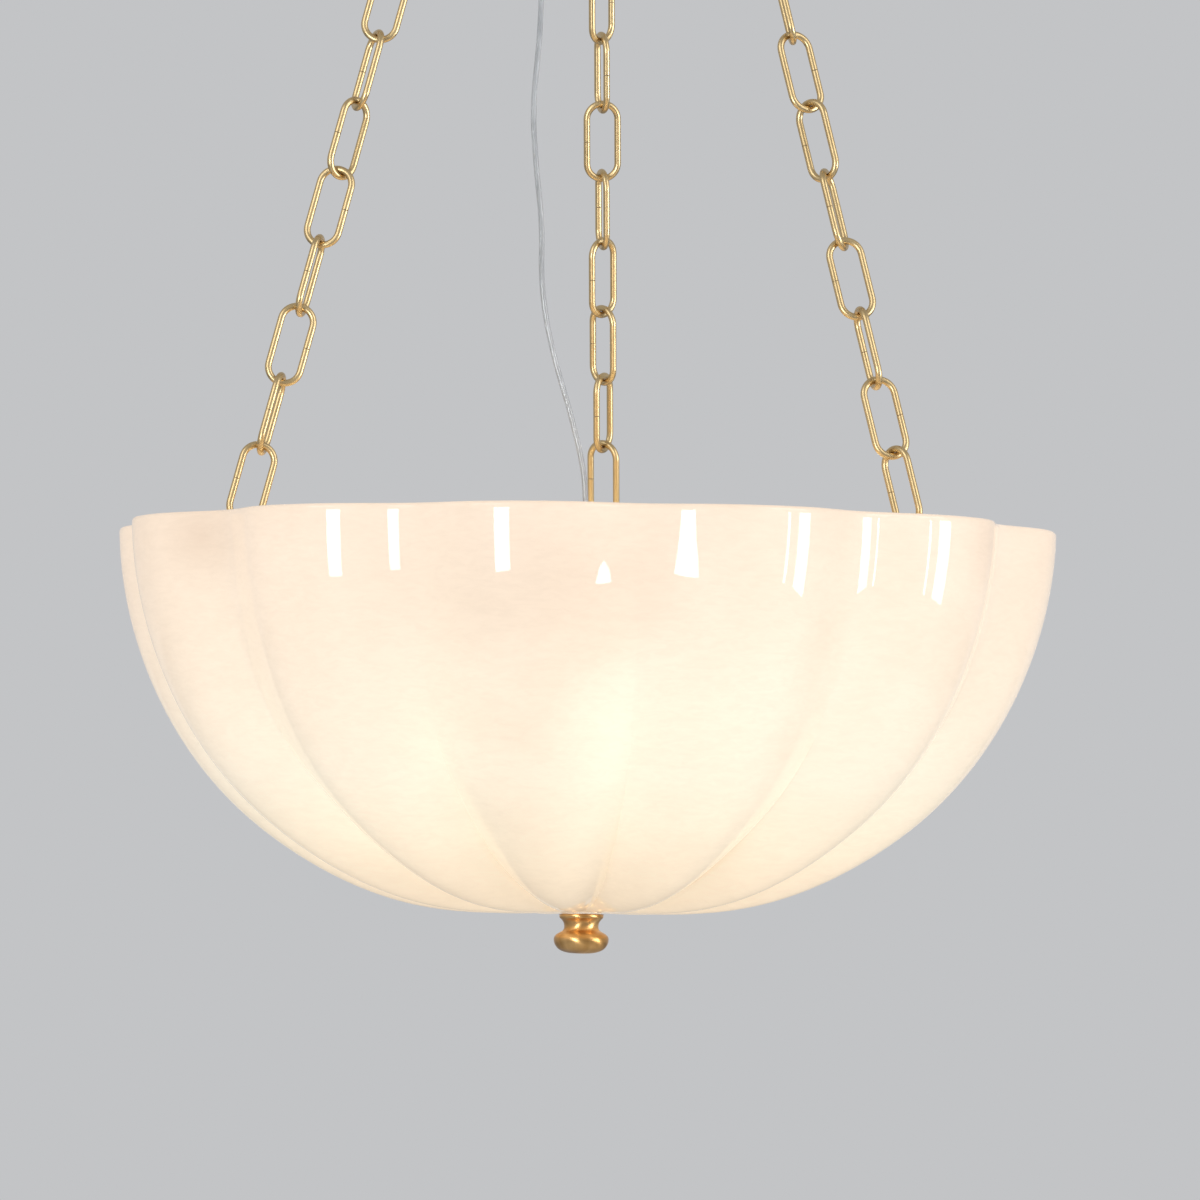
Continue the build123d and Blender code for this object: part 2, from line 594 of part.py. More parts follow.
def make_hub():
    inside = HUB_RADIUS - HUB_WALL
    cup = turned((0, hub_bottom), (HUB_RADIUS - 3, hub_bottom), (HUB_RADIUS, hub_bottom + 3),
                 (HUB_RADIUS, hub_top), (inside, hub_top), (inside, hub_inside_floor),
                 (0, hub_inside_floor))
    boss_height = COVER_SCREW_LENGTH + 2
    screw_places = [Rot(0, 0, turn) * Pos(COVER_SCREW_CIRCLE, 0, 0) for turn in (0, 180)]
    for place in screw_places:
        boss = Pos(0, 0, hub_top - boss_height / 2) * Cylinder(2 * COVER_SCREW_RADIUS, boss_height)
        cup += place * boss
    cup -= Pos(0, 0, hub_bottom) * Cylinder(ROD_RADIUS, 4 * HUB_FLOOR)
    for turn in CHAIN_NAMES.values():
        hole = tube_between(ARM_RADIUS, (inside / 2, 0, arm_z), (2 * HUB_RADIUS, 0, arm_z))
        cup -= Rot(0, 0, turn) * hole
    for turn in lamp_turns():
        level = rim_z - LAMP_ARM_DEPTH
        hole = tube_between(LAMP_ARM_RADIUS, (inside / 2, 0, level), (2 * HUB_RADIUS, 0, level))
        cup -= Rot(0, 0, turn) * hole
    cover_top = hub_top + COVER_THICKNESS
    cover = turned((0, hub_top), (HUB_RADIUS, hub_top), (HUB_RADIUS, cover_top - 1),
                   (HUB_RADIUS - 1, cover_top), (0, cover_top))
    cover -= Pos(0, 0, hub_top) * Cylinder(GLAND_THREAD_RADIUS, 4 * COVER_THICKNESS)
    screws = []
    for place in screw_places:
        screw = Pos(0, 0, cover_top - COVER_SCREW_LENGTH / 2) * Cylinder(COVER_SCREW_RADIUS, COVER_SCREW_LENGTH)
        cup -= place * screw
        cover -= place * screw
        head = turned((0, cover_top), (2 * COVER_SCREW_RADIUS, cover_top),
                      (2 * COVER_SCREW_RADIUS, cover_top + 0.9), (COVER_SCREW_RADIUS, cover_top + 1.7),
                      (0, cover_top + 1.7))
        slot = Pos(0, 0, cover_top + 1.7) * Box(6 * COVER_SCREW_RADIUS, 0.7, 1.2)
        screws.append(place * (screw + head - slot))
    save("frame_hub", cup)
    save("hub_cover", cover)
    save("hub_screws", *screws)
    tip = cover_top + HUB_GLAND_HEIGHT
    flange_top = cover_top + GLAND_FLANGE_HEIGHT
    thread_end = hub_top - 2.0
    gland = turned((GLAND_BORE, thread_end), (GLAND_THREAD_RADIUS, thread_end),
                   (GLAND_THREAD_RADIUS, cover_top), (GLAND_FLANGE_RADIUS, cover_top),
                   (GLAND_FLANGE_RADIUS, flange_top - 1), (GLAND_FLANGE_RADIUS - 1, flange_top),
                   (GLAND_NECK_RADIUS, flange_top), (GLAND_TIP_RADIUS, tip), (GLAND_BORE, tip))
    save("hub_gland", gland)
    length, width, height = HUB_CONNECTOR_SIZE
    block = Pos(0, 0, rod_top + 0.3 + height / 2) * Box(length, width, height)
    block = fillet(block.edges().filter_by(Axis.Z), 1.0)
    for offset in (-width / 4, width / 4):
        block -= Pos(0, offset, rod_top + 0.3 + height / 2) * Rot(0, 90, 0) * Cylinder(BLOCK_HOLE_RADIUS, 2 * length)
    save("hub_connector", block)


def make_rod():
    middle = (rod_top + rod_bottom) / 2
    rod = Pos(0, 0, middle) * Cylinder(ROD_RADIUS, rod_top - rod_bottom)
    save("bowl_rod", rod - Pos(0, 0, middle) * Cylinder(NIPPLE_BORE, 2 * (rod_top - rod_bottom)))
    save("rod_nut", hexagon_nut(NUT_FLATS, NUT_HEIGHT, ROD_RADIUS, hub_inside_floor + NUT_HEIGHT))
    gasket_top = bowl_floor + GASKET_THICKNESS
    washer_top = gasket_top + SEAT_WASHER_THICKNESS
    bore = ROD_RADIUS + ROD_CLEARANCE
    save("seat_nut", hexagon_nut(NUT_FLATS, SEAT_NUT_HEIGHT, ROD_RADIUS, washer_top + SEAT_NUT_HEIGHT))
    washer = turned((bore, gasket_top), (SEAT_WASHER_RADIUS, gasket_top),
                    (SEAT_WASHER_RADIUS, washer_top - 0.8), (SEAT_WASHER_RADIUS - 0.8, washer_top),
                    (bore, washer_top))
    save("seat_washer", washer)
    save("upper_gasket", turned((bore, bowl_floor), (GASKET_RADIUS, bowl_floor), (GASKET_RADIUS, gasket_top),
                                (bore, gasket_top)))
    save("lower_gasket", turned((bore, finial_top), (LOWER_GASKET_RADIUS, finial_top),
                                (LOWER_GASKET_RADIUS, bowl_bottom), (bore, bowl_bottom)))


def make_finial():
    """Turned knob: flange, waist and flattened ball, with a blind threaded hole."""
    points = [(share * FINIAL_RADIUS, -depth * FINIAL_HEIGHT) for share, depth in FINIAL_SIDE]
    edge, foot = (FINIAL_EDGE * FINIAL_RADIUS, 0), (0, -FINIAL_HEIGHT)
    edges = [Line((0, 0), edge), Line(edge, points[0]), Spline(*points),
             Line(points[-1], foot), Line(foot, (0, 0))]
    knob = revolve(Plane.XZ * make_face([edge.edge() for edge in edges]), Axis.Z)
    bore = Cylinder(ROD_RADIUS + THREAD_CLEARANCE, 2 * FINIAL_BORE_DEPTH)
    save("finial", Pos(0, 0, finial_top) * (knob - bore))


# Lamps


def make_lamps():
    level = rim_z - LAMP_ARM_DEPTH
    holder_top = level - HOLDER_DROP
    holder_bottom = holder_top - HOLDER_LENGTH
    socket_face = holder_bottom + HOLDER_RECESS
    path = FilletPolyline((HUB_RADIUS - HUB_WALL, 0, level), (LAMP_CIRCLE, 0, level),
                          (LAMP_CIRCLE, 0, holder_top - 3), radius=LAMP_ARM_BEND)
    arm = swept(path, Circle(LAMP_ARM_RADIUS)) - swept(path, Circle(LAMP_ARM_BORE))
    sleeve = turned((LAMP_ARM_RADIUS, holder_top), (HOLDER_RADIUS - 3, holder_top),
                    (HOLDER_RADIUS, holder_top - 3), (HOLDER_RADIUS, holder_bottom),
                    (HOLDER_RADIUS - HOLDER_WALL, holder_bottom), (HOLDER_RADIUS - HOLDER_WALL, socket_face),
                    (0, socket_face), (0, holder_top - 3), (LAMP_ARM_RADIUS, holder_top - 3))
    base_top = socket_face
    base_bottom = base_top - BULB_BASE_LENGTH
    base = turned((0, base_top), (BULB_BASE_RADIUS - 1, base_top), (BULB_BASE_RADIUS, base_top - 1),
                  (BULB_BASE_RADIUS, base_bottom), (0, base_bottom))
    for side in (-1, 1):
        hole = Pos(0, side * PIN_SPACING / 2, socket_face + PIN_LENGTH / 2)
        sleeve -= hole * Cylinder(PIN_HOLE_RADIUS, PIN_LENGTH + 2)
        base += hole * Cylinder(PIN_RADIUS, PIN_LENGTH)
    glass_bottom = base_bottom - BULB_LENGTH
    glass = Pos(0, 0, glass_bottom + BULB_RADIUS) * Sphere(BULB_RADIUS)
    barrel = BULB_LENGTH - BULB_RADIUS
    glass += Pos(0, 0, base_bottom - barrel / 2) * Cylinder(BULB_RADIUS, barrel)
    turns = lamp_turns()
    out = Pos(LAMP_CIRCLE, 0, 0)
    save("lamp_arms", *[Rot(0, 0, turn) * arm for turn in turns])
    save("lamp_holders", *[Rot(0, 0, turn) * out * sleeve for turn in turns])
    for number, turn in enumerate(turns, start=1):
        save(f"bulb_base_{number}", Rot(0, 0, turn) * out * base)
        save(f"bulb_{number}", Rot(0, 0, turn) * out * glass)


make_ceiling_fixings()
make_canopy()
make_collar()
make_canopy_loop()
make_hanging_ring()
make_canopy_gland()
make_crown()
make_chains()
save("lamp_cable", tube_on_route("lamp_cable", CABLE_ROUTE))
save("cable_tail", tube_on_route("cable_tail", TAIL_ROUTE))
make_support_arms()
make_hub()
make_rod()
make_finial()
make_lamps()
save("bowl", bowl_shell())
print("rim plane", round(rim_z, 2), "finial foot", round(finial_top - FINIAL_HEIGHT, 2))
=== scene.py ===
from math import acos, cos, degrees, hypot, pi, radians, sin

import bmesh
import bpy
from mathutils import Matrix, Vector


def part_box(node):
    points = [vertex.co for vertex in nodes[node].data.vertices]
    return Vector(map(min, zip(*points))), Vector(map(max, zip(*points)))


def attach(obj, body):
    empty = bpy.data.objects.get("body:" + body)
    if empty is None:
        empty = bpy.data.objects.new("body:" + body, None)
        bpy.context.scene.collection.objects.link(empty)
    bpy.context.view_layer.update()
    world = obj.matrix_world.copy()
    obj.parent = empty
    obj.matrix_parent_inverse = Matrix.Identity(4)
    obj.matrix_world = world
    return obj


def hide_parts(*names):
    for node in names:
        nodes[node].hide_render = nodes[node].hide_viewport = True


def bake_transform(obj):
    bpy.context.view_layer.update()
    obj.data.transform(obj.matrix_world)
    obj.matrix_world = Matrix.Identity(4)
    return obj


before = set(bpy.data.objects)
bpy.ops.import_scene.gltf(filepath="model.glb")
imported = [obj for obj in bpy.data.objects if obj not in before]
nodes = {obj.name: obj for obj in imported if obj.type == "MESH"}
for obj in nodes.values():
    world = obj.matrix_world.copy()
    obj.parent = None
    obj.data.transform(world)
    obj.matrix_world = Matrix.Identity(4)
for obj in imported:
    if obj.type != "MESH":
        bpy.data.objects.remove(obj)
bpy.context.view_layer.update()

# Places in the row frame, in metres. They repeat the CAD model's derived heights.
RIM_Z = -0.74299
LAMP_COUNT = 6
LAMP_CIRCLE = 0.084
LAMP_TURN = -78.0
# Strength of each lamp's painted glow on the wall; the glows differ from lamp to lamp
LAMP_SHARES = (0.88, 1.15, 1.0, 1.0, 1.0, 1.40)
GLASS_MIDDLE_Z = RIM_Z - 0.115
GLASS_REACH = 0.022

# Bowl, in metres
BOWL_RADIUS = 0.250
BOWL_DEPTH = 0.2027
BOWL_WALL = 0.0045
RADIUS_POWER = 2.77
DEPTH_POWER = 1.85
BOWL_FULLNESS = 0.0032
FULLNESS_REACH = 0.7
FLUTE_COUNT = 12
FLUTE_DEPTH = 0.016
FLUTE_TURN = -4.7
FLUTE_POWER = 1.5
BASE_RADIUS = 0.016
BOWL_HOLE_RADIUS = 0.0056


# Node trees


class Tree:
    """A material's node tree, with short calls to add and join nodes."""

    def __init__(self, name):
        self.material = bpy.data.materials.new(name)
        self.material.use_nodes = True
        self.tree = self.material.node_tree
        self.shader = self.tree.nodes["Principled BSDF"]

    def add(self, kind, links=(), **settings):
        node = self.tree.nodes.new("ShaderNode" + kind)
        for key, value in settings.items():
            setattr(node, key, value)
        for socket, value in dict(links).items():
            self.put(node.inputs[socket], value)
        return node

    def put(self, socket, value):
        if isinstance(value, bpy.types.NodeSocket):
            self.tree.links.new(value, socket)
        else:
            socket.default_value = value

    def set(self, **values):
        for name, value in values.items():
            self.put(self.shader.inputs[name.replace("_", " ")], value)

    def math(self, operation, first, second=0.0):
        return self.add("Math", {0: first, 1: second}, operation=operation).outputs[0]

    def vector(self, operation, first, second, output=0):
        return self.add("VectorMath", {0: first, 1: second}, operation=operation).outputs[output]

    def ramp(self, value, *stops):
        node = self.add("ValToRGB", {0: value})
        elements = node.color_ramp.elements
        while len(elements) < len(stops):
            elements.new(0.5)
        for element, (place, colour) in zip(elements, stops):
            element.position = place
            element.color = (*colour, 1.0)
        return node.outputs[0]

    def span(self, value, low, high, new_low, new_high):
        node = self.add("MapRange", {0: value, 1: low, 2: high, 3: new_low, 4: new_high})
        return node.outputs[0]

    def mix(self, share, first, second, blend="MIX"):
        node = self.add("Mix", data_type="RGBA", blend_type=blend)
        self.put(node.inputs["Factor"], share)
        for socket, value in ((node.inputs[6], first), (node.inputs[7], second)):
            linked = isinstance(value, bpy.types.NodeSocket)
            self.put(socket, value if linked else (*value, 1.0))
        return node.outputs[2]

    def place(self, stretch=(1, 1, 1), turn=(0, 0, 0)):
        """Object position, stretched and turned, for a pattern to be read at."""
        position = self.add("TexCoord").outputs["Object"]
        node = self.add("Mapping", {"Vector": position, "Rotation": turn, "Scale": stretch})
        return node.outputs[0]

    def noise(self, where, scale, detail=3.0, roughness=0.55, warp=0.0):
        links = {"Vector": where, "Scale": scale, "Detail": detail}
        links |= {"Roughness": roughness, "Distortion": warp}
        return self.add("TexNoise", links).outputs["Fac"]

    def bump(self, height, strength, distance):
        links = {"Height": height, "Strength": strength, "Distance": distance}
        return self.add("Bump", links).outputs[0]


def brass(name, colour, dark, roughness, grain=(1, 1, 1), grain_scale=900.0, depth=0.00004):
    """Satin brass with fine brushing, and faint tarnish patches a few millimetres wide."""
    tree = Tree(name)
    fine = tree.noise(tree.place(grain), grain_scale, 4.0)
    patches = tree.noise(tree.place(), 45.0, 3.0, 0.5, 0.3)
    tone = tree.mix(tree.span(patches, 0.45, 0.75, 0.0, 0.45), colour, dark)
    tone = tree.mix(tree.span(fine, 0.40, 0.75, 0.0, 0.10), tone, dark)
    tree.set(
        Base_Color=tone,
        Metallic=1.0,
        Roughness=tree.span(fine, 0.3, 0.7, roughness - 0.04, roughness + 0.05),
        Normal=tree.bump(fine, 0.15, depth),
        Coat_Weight=0.08,
        Coat_Roughness=0.15,
    )
    return tree.material


def steel():
    """Zinc-plated steel: pale blue-grey with spangles and fine rolling lines."""
    tree = Tree("zinc_steel")
    cells = tree.add("TexVoronoi", {"Vector": tree.place(), "Scale": 220.0}).outputs["Color"]
    spangle = tree.add("RGBToBW", {0: cells}).outputs[0]
    lines = tree.noise(tree.place((1, 14, 14)), 160.0, 3.0)
    share = tree.span(spangle, 0.2, 0.8, 0.0, 0.6)
    tone = tree.mix(share, (0.60, 0.62, 0.64), (0.46, 0.48, 0.50))
    tree.set(
        Base_Color=tone,
        Metallic=1.0,
        Roughness=tree.span(lines, 0.3, 0.7, 0.28, 0.46),
        Normal=tree.bump(lines, 0.2, 0.00005),
    )
    return tree.material


def moulded(name, colour, shade, roughness, clear=0.0):
    """Moulded or glazed piece: fine orange-peel grain and a slightly darker tone in patches."""
    tree = Tree(name)
    grain = tree.noise(tree.place(), 700.0, 3.0)
    cloud = tree.noise(tree.place(), 45.0, 3.0)
    tree.set(
        Base_Color=tree.mix(tree.span(cloud, 0.35, 0.7, 0.0, 1.0), colour, shade),
        Roughness=tree.span(grain, 0.3, 0.7, roughness - 0.05, roughness + 0.07),
        Normal=tree.bump(grain, 0.15, 0.00005),
        Coat_Weight=clear,
        Coat_Roughness=0.06,
    )
    return tree.material


def bulb_glass():
    """Frosted capsule glass, brightest around the burner in its middle."""
    tree = Tree("bulb_glass")
    grain = tree.noise(tree.place(), 1500.0, 2.0)
    height = tree.add("SeparateXYZ", {0: tree.place()}).outputs[2]
    away = tree.math("ABSOLUTE", tree.math("SUBTRACT", height, GLASS_MIDDLE_Z))
    share = tree.span(away, 0.0, GLASS_REACH, 0.0, 1.0)
    tree.set(
        Base_Color=tree.mix(grain, (0.95, 0.93, 0.88), (0.88, 0.86, 0.80)),
        Roughness=0.45,
        Emission_Color=tree.ramp(share, (0.0, (0.96, 1.0, 0.84)), (1.0, (1.0, 0.90, 0.66))),
        Emission_Strength=tree.span(away, 0.0, GLASS_REACH, 8.0, 4.0),
        Normal=tree.bump(grain, 0.2, 0.00003),
    )
    return tree.material


def lamp_places():
    turns = [radians(LAMP_TURN + 360 / LAMP_COUNT * index) for index in range(LAMP_COUNT)]
    return [(LAMP_CIRCLE * cos(turn), LAMP_CIRCLE * sin(turn), GLASS_MIDDLE_Z) for turn in turns]


# Painted shadows in the wall, each as (x, y, depth under the rim, reach, strength): one where each
# support arm stands at it, a soft band of painted shadow down the front, and one in the front
# crease
ARM_PAINTED_SHADOWS = tuple(
    (0.237 * cos(radians(turn)), 0.237 * sin(radians(turn)), 0.013, 0.030, 0.46)
    for turn in (90.0, 216.4, 330.0)
)
FRONT_PAINTED_SHADOWS = (
    (0.026, -0.231, 0.048, 0.042, 0.17),
    (-0.004, -0.226, 0.093, 0.042, 0.17),
    (-0.017, -0.210, 0.120, 0.042, 0.17),
    (-0.033, -0.169, 0.156, 0.042, 0.17),
)
CREASE_PAINTED_SHADOW = (0.003, -0.236, 0.036, 0.070, 0.36)
PAINTED_SHADOW_TINT = (0.62, 0.44, 0.32)


def lamp_glow(tree, position):
    """Light of the lamps on the wall, weak straight below them, where their tips point."""
    glow = None
    for place, share in zip(lamp_places(), LAMP_SHARES):
        offset = tree.vector("SUBTRACT", position, place)
        flat = tree.vector("MULTIPLY", offset, (1, 1, 0))
        away = tree.vector("DOT_PRODUCT", offset, offset, "Value")
        aside = tree.vector("DOT_PRODUCT", flat, flat, "Value")
        lit = tree.math("MULTIPLY", aside, 0.0075 * share)
        part = tree.math("DIVIDE", lit, tree.math("MULTIPLY", away, away))
        glow = part if glow is None else tree.math("ADD", glow, part)
    return glow


def painted_crease_shade(tree, axes):
    """Share of painted shade: a thin warm line along the creases, near the bottom and off the
    middle plane.
    """
    turn = tree.math("SUBTRACT", tree.math("ARCTAN2", axes[1], axes[0]), radians(FLUTE_TURN))
    wave = tree.math("ABSOLUTE", tree.math("SINE", tree.math("MULTIPLY", turn, FLUTE_COUNT / 2)))
    line = tree.span(wave, 0.988, 1.0, 0.0, 1.0)
    low = tree.span(axes[2], RIM_Z - 0.160, RIM_Z - 0.190, 0.0, 0.6)
    line = tree.math("MULTIPLY", line, low)
    side = tree.span(tree.math("ABSOLUTE", axes[0]), 0.012, 0.060, 0.0, 1.0)
    return tree.math("MULTIPLY", line, side)


def bowl_material():
    """Cast marble-look resin: cloudy cream with short slanted fibres, glossy; the six lamps' light
    through it is painted in as glow.
    """
    tree = Tree("bowl_resin")
    position = tree.add("TexCoord").outputs["Object"]
    axes = tree.add("SeparateXYZ", {0: position}).outputs

    cloud = tree.noise(tree.place((1, 1, 1.4)), 9.0, 4.0, 0.6, 0.6)
    fibre = tree.noise(tree.place((1.0, 1.0, 3.6), (0.5, 0.35, 0)), 70.0, 5.0, 0.62, 1.2)
    cross = tree.noise(tree.place((1.0, 1.0, 3.2), (-0.55, -0.3, 0)), 95.0, 5.0, 0.62, 1.2)
    pattern = tree.math("MULTIPLY", tree.math("ADD", fibre, cross), 0.5)
    share = tree.span(cloud, 0.3, 0.7, 0.0, 1.0)
    tone = tree.mix(share, (0.45, 0.385, 0.315), (0.50, 0.44, 0.37))
    tone = tree.mix(tree.span(pattern, 0.42, 0.60, 0.0, 0.25), tone, (0.40, 0.33, 0.26))

    # Painted glow: the lamps' light through the wall is painted into the emission, warmer towards
    # the bottom
    level = tree.span(lamp_glow(tree, position), 0.5, 2.2, 0.0, 1.0)
    veined = tree.span(pattern, 0.40, 0.62, 1.015, 0.975)
    strength = tree.math("MULTIPLY", tree.span(level, 0.0, 1.0, 0.48, 0.57), veined)
    tint = tree.ramp(
        level,
        (0.0, (0.985, 0.835, 0.695)),
        (0.35, (0.99, 0.895, 0.755)),
        (1.0, (0.96, 0.97, 0.82)),
    )
    low = tree.span(axes[2], RIM_Z - 0.135, RIM_Z - 0.200, 0.0, 1.0)
    tint = tree.mix(low, tint, (1.0, 0.85, 0.62))
    # Painted shade along the creases warms and darkens the glow colour there
    tint = tree.mix(painted_crease_shade(tree, axes), tint, (1.0, 0.70, 0.42))
    # Painted shadows of the arms and inner frame darken the glow colour at these spots
    for x, y, below, reach, depth in (*ARM_PAINTED_SHADOWS, *FRONT_PAINTED_SHADOWS, CREASE_PAINTED_SHADOW):
        away = tree.vector("DISTANCE", position, (x, y, RIM_Z - below), "Value")
        share = tree.math("MULTIPLY", tree.span(away, 0.0, reach, 1.0, 0.0), depth)
        tint = tree.mix(share, tint, PAINTED_SHADOW_TINT)

    tree.set(
        Base_Color=tone,
        Roughness=0.60,
        IOR=1.35,
        Transmission_Weight=0.30,
        Coat_Weight=0.6,
        Coat_Roughness=0.02,
        Coat_IOR=1.5,
        Coat_Tint=(1.0, 0.965, 0.925, 1.0),
        Emission_Color=tint,
        Emission_Strength=strength,
        Normal=tree.bump(pattern, 0.03, 0.0002),
    )
    return tree.material


def cable_sheath():
    """Clear sheath, a little smoky and slightly hazed along its length."""
    tree = Tree("cable_sheath")
    grain = tree.noise(tree.place((1, 1, 0.2)), 300.0, 3.0)
    share = tree.span(grain, 0.35, 0.65, 0.0, 1.0)
    tree.set(
        Base_Color=tree.mix(share, (0.50, 0.51, 0.52), (0.63, 0.64, 0.65)),
        Transmission_Weight=0.5,
        IOR=1.40,
        Coat_Weight=1.0,
        Coat_Roughness=0.06,
        Roughness=tree.span(grain, 0.3, 0.7, 0.14, 0.24),
        Normal=tree.bump(grain, 0.10, 0.00003),
    )
    return tree.material


def conductor():
    """Tinned strands, twisted."""
    tree = Tree("tinned_strands")
    along = tree.add("TexCoord").outputs["UV"]
    links = {"Vector": along, "Scale": 12.0, "Distortion": 0.3, "Detail": 1.0}
    wave = tree.add("TexWave", links, wave_type="BANDS", bands_direction="DIAGONAL")
    strands = wave.outputs["Fac"]
    tree.set(
        Base_Color=tree.mix(strands, (0.76, 0.76, 0.75), (0.58, 0.58, 0.58)),
        Metallic=0.85,
        Roughness=0.38,
        Normal=tree.bump(strands, 0.2, 0.00005),
    )
    return tree.material


# Mesh helpers


def finish_mesh(name, vertices, faces, material, smooth_angle=35.0):
    mesh = bpy.data.meshes.new(name)
    mesh.from_pydata(vertices, [], faces)
    mesh.validate()
    tidy = bmesh.new()
    tidy.from_mesh(mesh)
    bmesh.ops.recalc_face_normals(tidy, faces=tidy.faces)
    tidy.to_mesh(mesh)
    tidy.free()
    mesh.shade_smooth()
    mesh.set_sharp_from_angle(angle=radians(smooth_angle))
    mesh.materials.append(material)
    piece = bpy.data.objects.new(name, mesh)
    bpy.context.scene.collection.objects.link(piece)
    return piece


def ring_grid(rings, closed):
    """Quads between rings of equal length, and from the last ring back to the first if closed."""
    count = len(rings[0])
    vertices = [point for ring in rings for point in ring]
    pairs = list(zip(range(len(rings)), range(1, len(rings))))
    if closed:
        pairs.append((len(rings) - 1, 0))
    faces = []
    for low, high in pairs:
        for index in range(count):
            after = (index + 1) % count
            corners = (low * count + index, low * count + after)
            faces.append((*corners, high * count + after, high * count + index))
    return vertices, faces


def cap_ends(faces, vertices, count):
    """Close a run of rings with one face at each end."""
    faces.append(tuple(range(count)))
    faces.append(tuple(range(len(vertices) - count, len(vertices))))


# Bowl surface, the same formula as the CAD solid, in metres


def profile(angle):
    """Radius, depth and outward direction of the unfluted wall, from rim (0) to pole (90)."""
    share_r = max(cos(radians(angle)), 1e-9) ** (2 / RADIUS_POWER)
    share_z = sin(radians(angle)) ** (2 / DEPTH_POWER)
    slope_r = RADIUS_POWER * share_r ** (RADIUS_POWER - 1) / BOWL_RADIUS
    slope_z = DEPTH_POWER * share_z ** (DEPTH_POWER - 1) / BOWL_DEPTH
    length = hypot(slope_r, slope_z)
    swell = BOWL_FULLNESS * sin(pi * min(1.0, share_r / FULLNESS_REACH)) ** 2
    return share_r * BOWL_RADIUS, share_z * BOWL_DEPTH + swell, slope_r / length, slope_z / length


def flute_push(turn, radius, depth):
    """How far the wall is pushed in: smooth waves at the rim, creases lower down."""
    phase = FLUTE_COUNT * turn
    smooth = ((1 - cos(radians(phase))) / 2) ** FLUTE_POWER
    creased = 1 - abs(cos(radians(phase / 2)))
    share = min(1.0, max(0.0, (depth / BOWL_DEPTH - 0.2) / 0.7))
    share = share * share * (3 - 2 * share)
    reach = min(1.0, max(0.0, (radius - BASE_RADIUS) / (0.6 * BOWL_RADIUS)))
    return FLUTE_DEPTH * sin(reach * pi / 2) * ((1 - share) * smooth + share * creased)


def shell_ring(angle, inset, lift, count):
    """One level line of the fluted wall, moved inwards by inset and upwards by lift."""
    radius, depth, out_r, out_z = profile(angle)
    ring = []
    for index in range(count):
        turn = 360.0 * index / count
        push = flute_push(turn, radius, depth) + inset
        reach = radius - push * out_r
        plan = radians(turn + FLUTE_TURN)
        ring.append((reach * cos(plan), reach * sin(plan), RIM_Z - depth + push * out_z + lift))
    return ring


def flat_ring(radius, height, count):
    turns = [radians(360.0 * index / count + FLUTE_TURN) for index in range(count)]
    return [(radius * cos(turn), radius * sin(turn), height) for turn in turns]


def make_bowl():
    """Closed shell: over the rounded lip, down the outside, through the hole and up the inside."""
    count = 576
    steps = 110
    lip = BOWL_WALL / 2
    rim_angle = degrees(acos((1 - (lip / BOWL_DEPTH) ** DEPTH_POWER) ** 0.5))
    pole_angle = degrees(acos((BASE_RADIUS / BOWL_RADIUS) ** (RADIUS_POWER / 2)))
    shares = [index / steps for index in range(steps + 1)]
    angles = [rim_angle + (pole_angle - rim_angle) * share for share in shares]
    outside = [shell_ring(angle, 0.0, 0.0, count) for angle in angles]
    inside = [shell_ring(angle, BOWL_WALL, 0.0, count) for angle in angles]
    crest = []
    for index in range(1, 8):
        bend = pi * index / 8
        crest.append(shell_ring(rim_angle, lip * (1 - cos(bend)), lip * sin(bend), count))
    bottom, floor = outside[-1][0][2], inside[-1][0][2]
    hole = [flat_ring(BOWL_HOLE_RADIUS, height, count) for height in (bottom, floor)]
    rings = crest[::-1] + outside + hole + inside[::-1]
    vertices, faces = ring_grid(rings, closed=True)
    return finish_mesh("bowl_shade", vertices, faces, bowl_material())


def lathe(name, outline, material, count, height):
    """Turned piece about Z from (radius, height) pairs that start and end on the axis."""
    rings = [flat_ring(max(radius, 1e-5), level + height, count) for radius, level in outline]
    vertices, faces = ring_grid(rings, closed=False)
    cap_ends(faces, vertices, count)
    return finish_mesh(name, vertices, faces, material)


# Cable


CABLE_RADIUS = 0.0015
CORE_RADIUS = 0.00055
CORE_OFFSET = 0.0006
CORE_TURNS_PER_METRE = 14.0
CORE_STEP = 0.0012
CABLE_ROUTE = (
    (-0.0250, 0.0, -0.0726), (-0.0250, 0.0, -0.0980), (-0.0268, 0.0055, -0.1340),
    (-0.0240, 0.0080, -0.1860), (-0.0275, 0.0050, -0.2400), (-0.0325, 0.0020, -0.2920),
    (-0.0305, -0.0010, -0.3440), (-0.0255, 0.0, -0.3960), (-0.0265, 0.0015, -0.4400),
    (-0.0269, 0.0005, -0.4780), (-0.0307, 0.0, -0.5160), (-0.0286, 0.0005, -0.5480),
    (-0.0247, 0.0, -0.5800), (-0.0252, 0.0, -0.6120), (-0.0196, 0.0, -0.6450),
    (-0.0085, 0.0, -0.6810), (-0.0015, 0.0, -0.7090), (0.0, 0.0, -0.7260), (0.0, 0.0, -0.7350),
)


def spline_points(name, route):
    """Points on the smooth spline through the route."""
    curve = bpy.data.curves.new(name, "CURVE")
    curve.dimensions = "3D"
    curve.resolution_u = 24
    spline = curve.splines.new("NURBS")
    spline.points.add(len(route) - 1)
    for point, place in zip(spline.points, route):
        point.co = (*place, 1.0)
    spline.order_u = 3
    spline.use_endpoint_u = True
    holder = bpy.data.objects.new(name, curve)
    mesh = bpy.data.meshes.new_from_object(holder)
    points = [vertex.co.copy() for vertex in mesh.vertices]
    bpy.data.objects.remove(holder)
    bpy.data.meshes.remove(mesh)
    bpy.data.curves.remove(curve)
    return points


